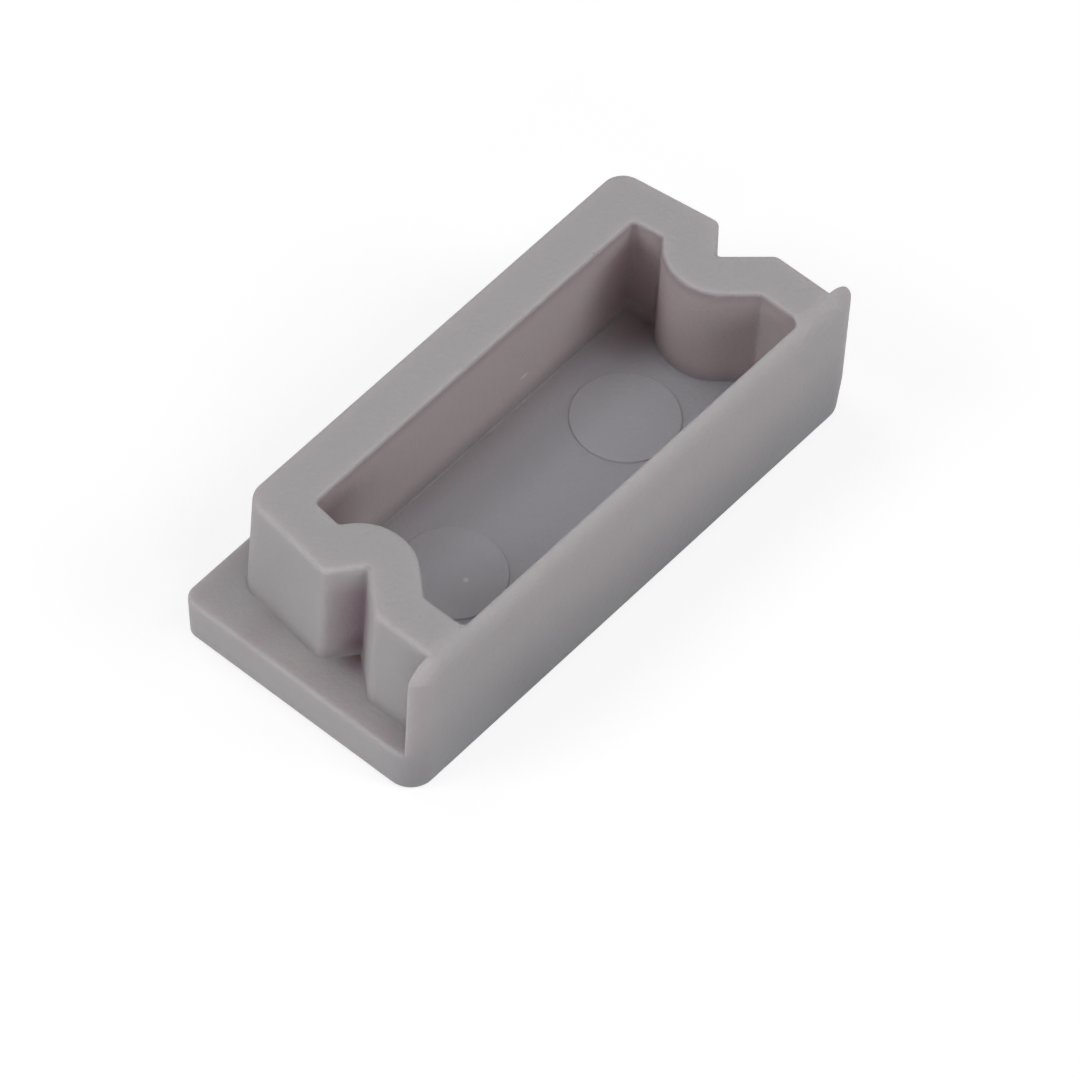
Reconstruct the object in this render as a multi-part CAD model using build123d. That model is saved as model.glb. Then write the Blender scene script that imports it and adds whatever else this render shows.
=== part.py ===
"""End cap for a surface-mount LED-strip profile: one moulded piece, in millimetres.

The cap lies on its flange. The origin is the centre of the flange's outer face, +X runs
along the long side, the cover lip is on the -Y side, and the hollow plug rises along +Z.
"""
from build123d import *
from math import cos, radians, sin
import os

# Flange: the plate that closes the profile's end.
FLANGE_LENGTH = 17.5
FLANGE_WIDTH = 8.0
FLANGE_THICKNESS = 1.5
FLANGE_LAND = 0.2               # straight band of the edge, below the ledge
FLANGE_DRAFT = 3.5              # degrees, narrowing from the land to the outer face
FLANGE_BACK_CORNER = 0.45       # upright corners away from the lip
FLANGE_EDGE = 0.15              # rounding of the outer face's edge
LEDGE_EDGE = 0.1                # rounding of the ledge's outer edge

# Plug and lip.
PLUG_RISE = 3.6                 # above the ledge
PLUG_DRAFT = 1.2                # degrees, widening towards the ledge
END_LEDGE = 0.85                # flange end to plug end, beside the lip
BACK_LEDGE = 0.82               # flange back edge to plug back
BACK_PART_LEDGE = 1.43          # flange end to plug end, at the plug's back corner
BACK_PART_SLANT = 8.0           # degrees from +Y
BACK_CORNER = 0.65
PLUG_TOP_EDGE = 0.14
PLUG_FOOT = 0.06

# Lip: the thin wall that hides the cover's cut end.
LIP_THICKNESS = 0.48
LIP_END_CORNER = 0.9            # round top corners, seen from the front
LIP_FRONT_EDGE = 0.6            # rounding along the top of the front face
LIP_SIDE_EDGE = 0.8             # upright front corners of lip and flange
LIP_REAR_EDGE = 0.06

# Notches in the plug's two ends, for the ribs inside the profile.
NOTCH_FROM_FRONT = 3.4          # flange front edge to the notch's bottom
NOTCH_LEDGE = 1.91              # flange end to the notch's bottom
NOTCH_FRONT_FLANK = 47.0        # degrees from X
NOTCH_BACK_FLANK = 38.0         # degrees from X
NOTCH_FRONT_CORNER = 0.3
NOTCH_BACK_CORNER = 0.22
NOTCH_ROOT = 0.1

# Cavity.
FRONT_WALL = 0.43               # front face to cavity
END_WALL = 1.3
BACK_WALL = 1.45
NOTCH_FRONT_WALL = 1.32
NOTCH_BACK_WALL = 1.45
BULGE_RADIUS = 1.55             # the wall's inner side, round the notch
FLOOR_THICKNESS = 1.4
CAVITY_CORNER = 0.15
CAVITY_FRONT_CORNER = 0.2
CAVITY_TOP_EDGE = 0.08
CAVITY_FOOT = 0.06

# Ejector-pin marks, standing a little proud of the cavity floor.
PIN_MARK_DIAMETER = 3.0
PIN_MARK_SPACING = 6.88
PIN_MARK_FROM_FRONT = 3.4
PIN_MARK_HEIGHT = 0.05
PIN_MARK_EDGE = 0.04

HALF_LENGTH = FLANGE_LENGTH / 2
FRONT = -FLANGE_WIDTH / 2
BACK = FLANGE_WIDTH / 2
TOP = FLANGE_THICKNESS + PLUG_RISE
SAME_PLACE = 1e-3               # points closer than this count as one


def direction(angle):
    """Unit vector at an angle from +X, in degrees."""
    return Vector(cos(radians(angle)), sin(radians(angle)))


def meet(point_a, angle_a, point_b, angle_b):
    """Where two lines cross, each given by a point and its angle from +X."""
    along_a = direction(angle_a)
    along_b = direction(angle_b)
    gap = point_b - point_a
    cross = along_a.X * along_b.Y - along_a.Y * along_b.X
    return point_a + along_a * ((gap.X * along_b.Y - gap.Y * along_b.X) / cross)


def shifted(point, angle, distance):
    """The point moved square to a line, to the line's left."""
    return point + direction(angle + 90) * distance


# Right-hand end of the plug: its lines, from the lip round to the back.
NOTCH_POINT = Vector(HALF_LENGTH - NOTCH_LEDGE, FRONT + NOTCH_FROM_FRONT)
FRONT_PART = (Vector(HALF_LENGTH - END_LEDGE, FRONT), 90)
FRONT_FLANK = (NOTCH_POINT, 180 - NOTCH_FRONT_FLANK)
BACK_FLANK = (NOTCH_POINT, NOTCH_BACK_FLANK)
BACK_PART = (Vector(HALF_LENGTH - BACK_PART_LEDGE, BACK - BACK_LEDGE), 90 + BACK_PART_SLANT)
PLUG_BACK = (Vector(0, BACK - BACK_LEDGE), 180)


def inner(line, wall):
    """A line of the plug's outside, moved inward by the wall."""
    point, angle = line
    return shifted(point, angle, wall), angle


def half_outline(lines):
    """Corners where each line meets the next."""
    return [meet(*a, *b) for a, b in zip(lines, lines[1:])]


def mirrored_face(corners):
    """Closed outline from the right-hand corners and their mirror images."""
    left = [Vector(-c.X, c.Y) for c in reversed(corners)]
    return make_face(Polyline(*corners, *left, close=True))


def corners_at(face, points, radius):
    """The face with the corners at these points, and their mirror images, rounded."""
    places = [Vector(side * p.X, p.Y) for p in points for side in (1, -1)]
    near = lambda v: any((Vector(v) - q).length < SAME_PLACE for q in places)
    chosen = [v for v in face.vertices() if near(v)]
    return fillet(chosen, radius)


def plug_outline():
    """Outside of the plug at its top; its front end lies inside the lip."""
    inside_lip = (Vector(0, FRONT + LIP_THICKNESS / 2), 0)
    corners = half_outline([inside_lip, FRONT_PART, FRONT_FLANK, BACK_FLANK, BACK_PART, PLUG_BACK])
    face = mirrored_face(corners)
    face = corners_at(face, corners[1:2], NOTCH_FRONT_CORNER)
    face = corners_at(face, corners[2:3], NOTCH_ROOT)
    face = corners_at(face, corners[3:4], NOTCH_BACK_CORNER)
    return corners_at(face, corners[4:5], BACK_CORNER)


def room_outline():
    """Space between the front, end and back walls, before the notches' own walls."""
    return mirrored_face(half_outline([
        (Vector(0, FRONT + FRONT_WALL), 0),
        inner(FRONT_PART, END_WALL),
        inner(BACK_PART, END_WALL),
        inner(PLUG_BACK, BACK_WALL),
    ]))


def notch_wall(side):
    """Wedge behind a notch's two flanks, with a round nose: the bulge in the cavity's end."""
    nose = meet(*inner(FRONT_FLANK, NOTCH_FRONT_WALL), *inner(BACK_FLANK, NOTCH_BACK_WALL))
    front_end = nose - direction(180 - NOTCH_FRONT_FLANK) * FLANGE_LENGTH
    back_end = nose + direction(NOTCH_BACK_FLANK) * FLANGE_LENGTH
    corners = [Vector(side * p.X, p.Y) for p in (nose, front_end, back_end)]
    wedge = make_face(Polyline(*corners, close=True))
    return corners_at(wedge, [nose], BULGE_RADIUS)


def cavity_outline():
    """Inside of the plug; the wall follows each notch as a round bulge."""
    room = room_outline()
    on_wall = along(room)
    face = room - notch_wall(1) - notch_wall(-1)
    corners = [Vector(v) for v in face.vertices() if on_wall(v)]
    behind = FRONT + FRONT_WALL + SAME_PLACE
    face = corners_at(face, [p for p in corners if p.Y < behind], CAVITY_FRONT_CORNER)
    return corners_at(face, [p for p in corners if p.Y > behind], CAVITY_CORNER)


def envelope():
    """Block that gives the cap its rounded front edges and the lip its round top corners."""
    face = Plane.XZ * Pos(0, TOP / 2) * Rectangle(FLANGE_LENGTH, TOP)
    face = fillet(face.vertices().sort_by(Axis.Z)[-2:], LIP_END_CORNER)
    block = Pos(0, FRONT, 0) * extrude(face, -FLANGE_WIDTH)
    front_face = block.faces().sort_by(Axis.Y)[0]
    rim = [e for e in front_face.edges() if e.center().Z > 0]
    block = fillet(rim, LIP_FRONT_EDGE)
    plan = Rectangle(FLANGE_LENGTH, FLANGE_WIDTH)
    plan = fillet(plan.vertices().sort_by(Axis.Y)[:2], LIP_SIDE_EDGE)
    plan = fillet(plan.vertices().sort_by(Axis.Y)[-2:], FLANGE_BACK_CORNER)
    return block & extrude(plan, TOP)


def lip_slab(bottom, top):
    """Slab as thick as the lip between two heights, at the front of the cap."""
    base = (Align.CENTER, Align.MIN, Align.MIN)
    return Pos(0, FRONT, bottom) * Box(FLANGE_LENGTH, LIP_THICKNESS, top - bottom, align=base)


def flange(block):
    """Plate with the envelope's outline: a straight land, then drafted to a rounded edge."""
    land_bottom = FLANGE_THICKNESS - FLANGE_LAND
    outline = block.intersect(Plane.XY.offset(land_bottom))
    plate = extrude(outline, FLANGE_LAND) + extrude(outline, -land_bottom, taper=FLANGE_DRAFT)
    plate = fillet(plate.edges().group_by(Axis.Z)[0], FLANGE_EDGE)
    under_lip = plate & lip_slab(0, FLANGE_THICKNESS)
    return fillet(plate.edges().group_by(Axis.Z)[-1], LEDGE_EDGE) + under_lip


def plug():
    """Solid plug, drafted from its top down to the ledge."""
    top_face = Pos(0, 0, TOP) * plug_outline()
    solid = extrude(top_face, -PLUG_RISE, taper=-PLUG_DRAFT)
    return fillet(solid.edges().group_by(Axis.Z)[-1], PLUG_TOP_EDGE)


def lip(block):
    """Front slice of the envelope above the ledge, its rear edge rounded."""
    solid = block & lip_slab(FLANGE_THICKNESS, TOP)
    rear_face = solid.faces().sort_by(Axis.Y)[-1]
    rear_rim = [e for e in rear_face.edges() if e.center().Z > FLANGE_THICKNESS]
    return fillet(rear_rim, LIP_REAR_EDGE)


def edges_at(body, bottom, top, wanted):
    """Edges wholly between two heights whose middle point is wanted."""
    found = []
    for edge in body.edges():
        box = edge.bounding_box()
        in_band = box.min.Z > bottom - SAME_PLACE and box.max.Z < top + SAME_PLACE
        if in_band and wanted(edge @ 0.5):
            found.append(edge)
    return found


def along(outline):
    """Test for points on a face's outline, seen from above."""
    rim = outline.face().outer_wire()
    return lambda p: rim.distance_to(Vertex(p.X, p.Y, 0)) < SAME_PLACE


def beside_plug(p):
    """True behind the lip, up to the middle of the ledge at the ends and the back."""
    between_ends = abs(p.X) < HALF_LENGTH - END_LEDGE / 2
    behind_lip = p.Y > FRONT + LIP_THICKNESS + SAME_PLACE
    return between_ends and behind_lip and p.Y < BACK - BACK_LEDGE / 2


def softened(body, cavity):
    """The body with the mould's small radii at the cavity's floor and mouth and the plug's foot."""
    foot = edges_at(body, FLOOR_THICKNESS, FLOOR_THICKNESS, along(cavity))
    body = fillet(foot, CAVITY_FOOT)
    foot = edges_at(body, FLANGE_THICKNESS, FLANGE_THICKNESS, beside_plug)
    body = fillet(foot, PLUG_FOOT)
    mouth = edges_at(body, TOP - LIP_FRONT_EDGE, TOP, along(cavity))
    return fillet(mouth, CAVITY_TOP_EDGE)


def pin_mark(side):
    """Flat round of an ejector pin on the cavity floor, with a soft edge."""
    centre = Pos(side * PIN_MARK_SPACING / 2, FRONT + PIN_MARK_FROM_FRONT, FLOOR_THICKNESS)
    base = (Align.CENTER, Align.CENTER, Align.MIN)
    disc = Cylinder(PIN_MARK_DIAMETER / 2, PIN_MARK_HEIGHT, align=base)
    return centre * fillet(disc.edges().group_by(Axis.Z)[-1], PIN_MARK_EDGE)


def end_cap():
    """Flange, lip and plug fused, hollowed, softened and marked."""
    block = envelope()
    cavity = cavity_outline()
    body = flange(block) + lip(block) + (block & plug())
    body -= Pos(0, 0, FLOOR_THICKNESS) * extrude(cavity, TOP)
    body = softened(body, cavity)
    return body + pin_mark(-1) + pin_mark(1)


os.makedirs("parts", exist_ok=True)
export_step(end_cap(), "parts/end_cap.step")
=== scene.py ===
from math import cos, pi, radians, sin

import bpy
import numpy as np
from mathutils import Matrix, Vector

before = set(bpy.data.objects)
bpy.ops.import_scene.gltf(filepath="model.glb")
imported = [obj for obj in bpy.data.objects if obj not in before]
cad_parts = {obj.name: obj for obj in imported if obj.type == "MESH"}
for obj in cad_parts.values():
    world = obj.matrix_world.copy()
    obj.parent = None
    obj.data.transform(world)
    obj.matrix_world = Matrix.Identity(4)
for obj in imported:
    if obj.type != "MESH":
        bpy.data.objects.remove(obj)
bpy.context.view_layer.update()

MM = 0.001

# Camera: a long lens above the cap's front left corner.
AIM = Vector((-1.7618, -2.0862, 2.55)) * MM
DISTANCE = 231.312 * MM
TURN = radians(-52.3681)
ELEVATION = radians(53.2207)
ROLL = radians(4.0340)
LENS_MM = 300.356
SENSOR_MM = 36
NEAREST = 10 * MM
FARTHEST = 10000 * MM

# Soft boxes of a light tent: name, turn from the front towards the left, elevation, strength.
SOFT_BOXES = (
    ("back_left", 120, 38, 0.30),
    ("front_right", 330, 40, 0.29),
    ("front_high", 0, 62, 0.14),
    ("back_high", 180, 62, 0.14),
    ("right_high", 240, 62, 0.05),
    ("front_left", 40, 20, 0.18),
    ("left_low", 90, 5, 0.125),
)
SOFT_BOX_SPREAD = radians(30)
SOFT_BOX_COLOUR = "#F3FFFD"

# Paper under the cap.
PAPER_HALF = 500 * MM
PAPER_TOP = -0.02 * MM          # a hair below the cap, so that the two faces don't fight
PAPER_WHITE = "#EDEDED"
PAPER_SHADOW = 0.35             # how much of the paper's white the soft boxes make, as seen
PAPER_LIGHT = 0.7               # what the soft boxes give open paper, where 1 is white
PAPER_PAINTED_SHADE = "#3C3C3C"         # painted shade: a dark patch in the paper's bounce in front of the cap, for the cap's own shade there
PAPER_SHADE_MM = (0, -5.8, 0)
PAPER_SHADE_HALF_MM = 2.7
PAPER_SHADE_STRETCH = (4, 1, 1)
PAPER_SHADE_BLUR = 0.6

# Moulded plastic.
GREY = "#B9AEB0"
GREY_FLOW = "#B4A9AC"           # where the melt ran a little duller
FLOW_MM = 3.0
ROUGHNESS = (0.54, 0.68)        # in the duller patches, and in the rest
SKIN_DEPTH_MM = 1.2             # how far light wanders under the surface
SKIN_DEPTH_BY_CHANNEL = (1.0, 0.7, 0.75)    # red wanders farthest
GRAIN_MM = 0.14                 # the tool's real pits, about 0.03 mm, are too fine to show
GRAIN_HEIGHT_MM = 0.03
SOFT_EDGE_MM = 0.12             # the melt doesn't quite fill the tool's edges, so they look blurred
SOFT_EDGE_SAMPLES = 4

# Regions of the cap, as a centre and half-sizes along X and Y.
CAVITY_CENTRE_MM = (0, -0.73)
CAVITY_HALF_MM = (6.85, 2.66)   # the walls' inner side, without the cover lip
PLUG_CENTRE_MM = (0, -0.22)
PLUG_HALF_MM = (8.25, 3.70)     # the plug and the ledge's inner part, without the cap's outer sides
REGION_BLUR_MM = 0.05
LYING_FACE = 0.99               # upward part of the normal of a face that lies flat
UPRIGHT_FACE = 0.8              # and of one steep enough to count as a wall
# Painted shade and light: the cavity's walls warmer, for light bounced between them, and its floor cooler,
# for the light from above.
CAVITY_WALL_PAINTED_WARMTH = "#BEACAE"
CAVITY_FLOOR_PAINTED_COOL = "#B8B0B7"

# Ejector-pin marks on the cavity floor.
PIN_MARK_MM = 3.0
PIN_MARK_SPACING_MM = 6.88
PIN_MARK_Y_MM = -0.6
PIN_MARK_TOP_MM = 1.45
PIN_MARK_GREY = "#BBB3BA"
PIN_MARK_BLUR = 0.05

# Painted shade: brownish darkening in the hollows and towards the foot of the front, where shade falls and
# light bounces warm.
PAINTED_CORNER_SHADE = "#9A8286"
PAINTED_NOTCH_SHADE = "#937B84"
PAINTED_NOTCH_ROOT_SHADE = "#755B5F"
PAINTED_FRONT_FOOT_SHADE = "#A89FA5"          # painted shade: greyer and darker towards the foot of the front
PAINTED_CREASE_SHADE = "#A89A9E"
PAINTED_SHADE_BLUR = 0.9

# Places of it: centre, half-width, stretch along X, Y and Z, colour.
PAINTED_SHADE_PLACES = (
    ((6.84, -0.60, 3.0), 0.70, (1, 1, 3), PAINTED_NOTCH_SHADE),
    ((-6.84, -0.60, 3.0), 0.70, (1, 1, 3), PAINTED_NOTCH_SHADE),
    ((6.95, -0.60, 1.5), 0.42, (1, 1, 1.5), PAINTED_NOTCH_ROOT_SHADE),
    ((-6.95, -0.60, 1.5), 0.42, (1, 1, 1.5), PAINTED_NOTCH_ROOT_SHADE),
    ((5.95, 1.55, 3.0), 1.0, (1, 1, 3), PAINTED_CORNER_SHADE),
    ((-5.95, 1.55, 3.0), 1.0, (1, 1, 3), PAINTED_CORNER_SHADE),
    ((0, 1.75, 1.4), 0.50, (14, 1, 1), PAINTED_CREASE_SHADE),
    ((0, -4.1, 0.4), 1.70, (12, 0.6, 1), PAINTED_FRONT_FOOT_SHADE),
)

# Heights between which something comes in: not there at the first, in full at the second.
CAVITY_FLOOR_MM = (1.47, 1.46)
FOOT_BOTTOM_MM = (1.41, 1.46)   # painted shade at the walls' feet starts above the pin marks
FOOT_TOP_MM = (1.95, 1.46)
MOUTH_MM = (4.66, 4.96)         # painted shade under the cavity's rounded mouth
BELOW_TOP_MM = (4.9, 4.1)       # the painted shade fades out towards the cap's top
ABOVE_MARKS_MM = (1.6, 1.7)     # softened edges, which would thicken the rims of the pin marks

# Small faults: name, centre, half-width, stretch along X, Y and Z, colour.
FAULTS = (
    ("dark speck", (-6.76, -3.71, 5.1), 0.045, (1, 1, 1), "#6E6468"),
    ("light dot", (-3.37, -1.02, 1.45), 0.07, (1, 1, 1), "#D2CCCF"),
    ("nick", (4.69, 1.78, 5.1), 0.05, (1, 1, 1), "#A09897"),
    ("scratch", (2.02, 1.73, 2.49), 0.05, (3, 1, 1), "#D2CCCF"),
)
FAULT_BLUR = 0.4


def linear(code):
    """Linear RGBA of an sRGB hex colour."""
    srgb = np.array([int(code[i:i + 2], 16) for i in (1, 3, 5)]) / 255
    low = srgb / 12.92
    high = ((srgb + 0.055) / 1.055) ** 2.4
    return (*np.where(srgb <= 0.04045, low, high), 1.0)


def add(tree, kind, settings=None, links=None):
    """A node of a kind, with its settings, input values and links from other sockets."""
    node = tree.nodes.new(kind)
    for name, value in (settings or {}).items():
        if isinstance(name, int) or name in node.inputs:
            node.inputs[name].default_value = value
        else:
            setattr(node, name, value)
    for name, socket in (links or {}).items():
        tree.links.new(socket, node.inputs[name])
    return node


def camera():
    """A camera that looks at AIM from a turn, an elevation and a roll."""
    data = bpy.data.cameras.new("camera")
    data.sensor_width = SENSOR_MM
    data.lens = LENS_MM
    data.clip_start = NEAREST
    data.clip_end = FARTHEST
    seat = bpy.data.objects.new("camera", data)
    turn = Matrix.Rotation(TURN, 4, "Z")
    tilt = Matrix.Rotation(radians(90) - ELEVATION, 4, "X")
    back = Matrix.Translation((0, 0, DISTANCE))
    roll = Matrix.Rotation(ROLL, 4, "Z")
    seat.matrix_world = Matrix.Translation(AIM) @ turn @ tilt @ back @ roll
    bpy.context.scene.collection.objects.link(seat)
    bpy.context.scene.camera = seat


def lights():
    """The tent's soft boxes."""
    for name, turn, elevation, strength in SOFT_BOXES:
        lamp = bpy.data.lights.new(name, "SUN")
        lamp.angle = SOFT_BOX_SPREAD
        lamp.energy = pi * strength
        lamp.color = linear(SOFT_BOX_COLOUR)[:3]
        stand = bpy.data.objects.new(name, lamp)
        turn, elevation = radians(turn), radians(elevation)
        towards = Vector((-sin(turn) * cos(elevation), -cos(turn) * cos(elevation), sin(elevation)))
        stand.rotation_euler = towards.to_track_quat("Z", "Y").to_euler()
        bpy.context.scene.collection.objects.link(stand)


def seen(tree):
    """1 for what the camera sees, straight or by a gloss or through glass, else 0."""
    path = add(tree, "ShaderNodeLightPath")
    ray = path.outputs["Is Camera Ray"]
    for name in ("Is Glossy Ray", "Is Transmission Ray"):
        either = {0: ray, 1: path.outputs[name]}
        ray = add(tree, "ShaderNodeMath", {"operation": "MAXIMUM"}, either).outputs[0]
    return ray


def sky():
    """White where it is seen, with no light of its own."""
    world = bpy.data.worlds.new("tent")
    bpy.context.scene.world = world
    world.use_nodes = True
    tree = world.node_tree
    white = tree.nodes["Background"]
    white.inputs["Color"].default_value = (1, 1, 1, 1)
    tree.links.new(seen(tree), white.inputs["Strength"])


def paper():
    """White seamless paper: the cap's shadow on it stays soft and pale."""
    material = bpy.data.materials.new("paper")
    material.use_nodes = True
    tree = material.node_tree
    tree.nodes.clear()
    place = add(tree, "ShaderNodeTexCoord").outputs["Object"]
    # Painted shade: the paper throws back less light just in front of the cap, where the cap's own shade
    # lies.
    shaded = spot(tree, place, PAPER_SHADE_MM, PAPER_SHADE_HALF_MM, PAPER_SHADE_STRETCH, PAPER_SHADE_BLUR)
    bounce = blend(tree, shaded, PAPER_WHITE, PAPER_PAINTED_SHADE)
    reflect = add(tree, "ShaderNodeBsdfDiffuse", links={"Color": bounce})
    neutral = [PAPER_SHADOW / channel for channel in linear(SOFT_BOX_COLOUR)]
    shade = add(tree, "ShaderNodeBsdfDiffuse", {"Color": neutral})
    glow = {"Color": (1, 1, 1, 1), "Strength": 1 - PAPER_SHADOW * PAPER_LIGHT}
    white = add(tree, "ShaderNodeEmission", glow)
    look = add(tree, "ShaderNodeAddShader", links={0: shade.outputs[0], 1: white.outputs[0]})
    either = {0: seen(tree), 1: reflect.outputs[0], 2: look.outputs[0]}
    mix = add(tree, "ShaderNodeMixShader", links=either)
    add(tree, "ShaderNodeOutputMaterial", links={"Surface": mix.outputs[0]})
    return material


def floor():
    """Square sheet of paper under the cap."""
    mesh = bpy.data.meshes.new("floor")
    square = ((-1, -1), (1, -1), (1, 1), (-1, 1))
    corners = [(x * PAPER_HALF, y * PAPER_HALF, PAPER_TOP) for x, y in square]
    mesh.from_pydata(corners, [], [(0, 1, 2, 3)])
    sheet = bpy.data.objects.new("floor", mesh)
    bpy.context.scene.collection.objects.link(sheet)
    mesh.materials.append(paper())


def spot(tree, place, centre, half_width, stretch, blur):
    """1 inside a round or stretched place, 0 outside, with a blurred edge."""
    centre = Vector(centre) * MM
    away = add(tree, "ShaderNodeVectorMath", {"operation": "SUBTRACT", 1: centre}, {0: place})
    away = add(tree, "ShaderNodeVectorMath", {"operation": "DIVIDE", 1: stretch}, {0: away.outputs[0]})
    away = add(tree, "ShaderNodeVectorMath", {"operation": "LENGTH"}, {0: away.outputs[0]})
    size = half_width * MM
    settings = {
        "interpolation_type": "SMOOTHSTEP",
        "From Min": size * (1 - blur),
        "From Max": size * (1 + blur),
        "To Min": 1.0,
        "To Max": 0.0,
    }
    return add(tree, "ShaderNodeMapRange", settings, {"Value": away.outputs["Value"]}).outputs[0]


def ramp(tree, value, first, second):
    """0 at the first value and before it, 1 at the second one and past it, in millimetres."""
    settings = {"From Min": first * MM, "From Max": second * MM}
    return add(tree, "ShaderNodeMapRange", settings, {"Value": value}).outputs[0]


def product(tree, *values):
    """Several amounts multiplied."""
    result = values[0]
    for value in values[1:]:
        both = {0: result, 1: value}
        result = add(tree, "ShaderNodeMath", {"operation": "MULTIPLY"}, both).outputs[0]
    return result


def within(tree, place, centre, half):
    """1 inside an upright box of any height, 0 outside."""
    centre = Vector((*centre, 0)) * MM
    away = add(tree, "ShaderNodeVectorMath", {"operation": "SUBTRACT", 1: centre}, {0: place})
    away = add(tree, "ShaderNodeVectorMath", {"operation": "ABSOLUTE"}, {0: away.outputs[0]})
    x, y, _ = add(tree, "ShaderNodeSeparateXYZ", links={0: away.outputs[0]}).outputs
    inside_x = ramp(tree, x, half[0] + REGION_BLUR_MM, half[0])
    inside_y = ramp(tree, y, half[1] + REGION_BLUR_MM, half[1])
    return product(tree, inside_x, inside_y)


def blend(tree, amount, first, second):
    """One colour turned into another by an amount; each is a socket or a hex colour."""
    mix = add(tree, "ShaderNodeMix", {"data_type": "RGBA"})
    tree.links.new(amount, mix.inputs[0])
    for index, colour in ((6, first), (7, second)):
        if isinstance(colour, str):
            mix.inputs[index].default_value = linear(colour)
        else:
            tree.links.new(colour, mix.inputs[index])
    return mix.outputs[2]


def moulded_abs():
    """Grey ABS, injection-moulded in a spark-eroded steel tool.

    Spark erosion leaves the steel finely pitted, so the plastic is matt with an even grain.
    The pigment is thin: light wanders under the skin, which softens shadows and warms them.
    """
    material = bpy.data.materials.new("moulded_abs")
    material.use_nodes = True
    tree = material.node_tree
    skin = tree.nodes["Principled BSDF"]

    # Height, and the regions where the finish differs.
    place = add(tree, "ShaderNodeTexCoord").outputs["Object"]
    height = add(tree, "ShaderNodeSeparateXYZ", links={0: place}).outputs["Z"]
    facing = add(tree, "ShaderNodeTexCoord").outputs["Normal"]
    upward = add(tree, "ShaderNodeSeparateXYZ", links={0: facing}).outputs["Z"]
    steep = {"From Min": LYING_FACE, "From Max": UPRIGHT_FACE}
    upright = add(tree, "ShaderNodeMapRange", steep, {"Value": upward}).outputs[0]
    plug = within(tree, place, PLUG_CENTRE_MM, PLUG_HALF_MM)
    cavity = within(tree, place, CAVITY_CENTRE_MM, CAVITY_HALF_MM)
    cavity_wall = product(tree, cavity, upright)
    cavity_floor = product(tree, cavity, ramp(tree, height, *CAVITY_FLOOR_MM))

    # The melt cools unevenly on its way round the plug: faint cloudy patches.
    cloudy = {"Scale": 1 / (FLOW_MM * MM), "Detail": 3.0, "Roughness": 0.55}
    flow = add(tree, "ShaderNodeTexNoise", cloudy, {"Vector": place}).outputs["Fac"]
    colour = blend(tree, flow, GREY_FLOW, GREY)

    # Painted shade and light: the cavity's walls are painted warmer, standing in for light bounced between
    # them, and its floor a little cooler, standing in for the light it takes from above. The ends of the
    # ejector pins are ground fine and a little paler.
    colour = blend(tree, cavity_wall, colour, CAVITY_WALL_PAINTED_WARMTH)
    colour = blend(tree, cavity_floor, colour, CAVITY_FLOOR_PAINTED_COOL)
    for side in (-1, 1):
        centre = (side * PIN_MARK_SPACING_MM / 2, PIN_MARK_Y_MM, PIN_MARK_TOP_MM)
        mark = spot(tree, place, centre, PIN_MARK_MM / 2, (1, 1, 1), PIN_MARK_BLUR)
        colour = blend(tree, mark, colour, PIN_MARK_GREY)

    # Painted shade: darker, browner colour where shade falls, in the notches, in the cavity's corners,
    # along the foot of each wall, towards the foot of the front and under the cavity's rounded mouth.
    below_top = ramp(tree, height, *BELOW_TOP_MM)
    for centre, half_width, stretch, shade_tint in PAINTED_SHADE_PLACES:
        shade_mask = spot(tree, place, centre, half_width, stretch, PAINTED_SHADE_BLUR)
        colour = blend(tree, product(tree, shade_mask, below_top), colour, shade_tint)
    foot_bottom = ramp(tree, height, *FOOT_BOTTOM_MM)
    foot_top = ramp(tree, height, *FOOT_TOP_MM)
    foot = product(tree, plug, upright, foot_bottom, foot_top)
    mouth = product(tree, cavity_wall, ramp(tree, height, *MOUTH_MM))
    for shade_mask in (foot, mouth):
        colour = blend(tree, shade_mask, colour, PAINTED_CREASE_SHADE)

    for _, centre, half_width, stretch, fault in FAULTS:
        faulty = spot(tree, place, centre, half_width, stretch, FAULT_BLUR)
        colour = blend(tree, faulty, colour, fault)
    tree.links.new(colour, skin.inputs["Base Color"])

    # Every edge is softened but those on the cavity floor.
    outside = add(tree, "ShaderNodeMapRange", {"To Min": 1.0, "To Max": 0.0}, {"Value": cavity}).outputs[0]
    either = {0: ramp(tree, height, *ABOVE_MARKS_MM), 1: outside}
    soft = add(tree, "ShaderNodeMath", {"operation": "MAXIMUM"}, either).outputs[0]
    radius = add(tree, "ShaderNodeMapRange", {"To Max": SOFT_EDGE_MM * MM}, {"Value": soft}).outputs[0]
    edges = add(tree, "ShaderNodeBevel", {"samples": SOFT_EDGE_SAMPLES}, {"Radius": radius})

    # Pits of the eroded steel, standing as grain on the plastic.
    pitted = {"Scale": 1 / (GRAIN_MM * MM), "Detail": 2.0, "Roughness": 0.6}
    grain = add(tree, "ShaderNodeTexNoise", pitted, {"Vector": place}).outputs["Fac"]
    raised = {"Strength": 1.0, "Distance": GRAIN_HEIGHT_MM * MM}
    bump = add(tree, "ShaderNodeBump", raised, {"Height": grain, "Normal": edges.outputs[0]})
    tree.links.new(bump.outputs[0], skin.inputs["Normal"])
    dull = {"To Min": ROUGHNESS[0], "To Max": ROUGHNESS[1]}
    rough = add(tree, "ShaderNodeMapRange", dull, {"Value": flow})
    tree.links.new(rough.outputs[0], skin.inputs["Roughness"])

    skin.inputs["Subsurface Weight"].default_value = 0.7
    skin.inputs["Subsurface Radius"].default_value = SKIN_DEPTH_BY_CHANNEL
    skin.inputs["Subsurface Scale"].default_value = SKIN_DEPTH_MM * MM
    skin.inputs["IOR"].default_value = 1.53
    return material


camera()
lights()
sky()
floor()
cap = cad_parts["end_cap"]
cap.data.materials.clear()
cap.data.materials.append(moulded_abs())

bpy.context.scene.view_settings.view_transform = "Standard"
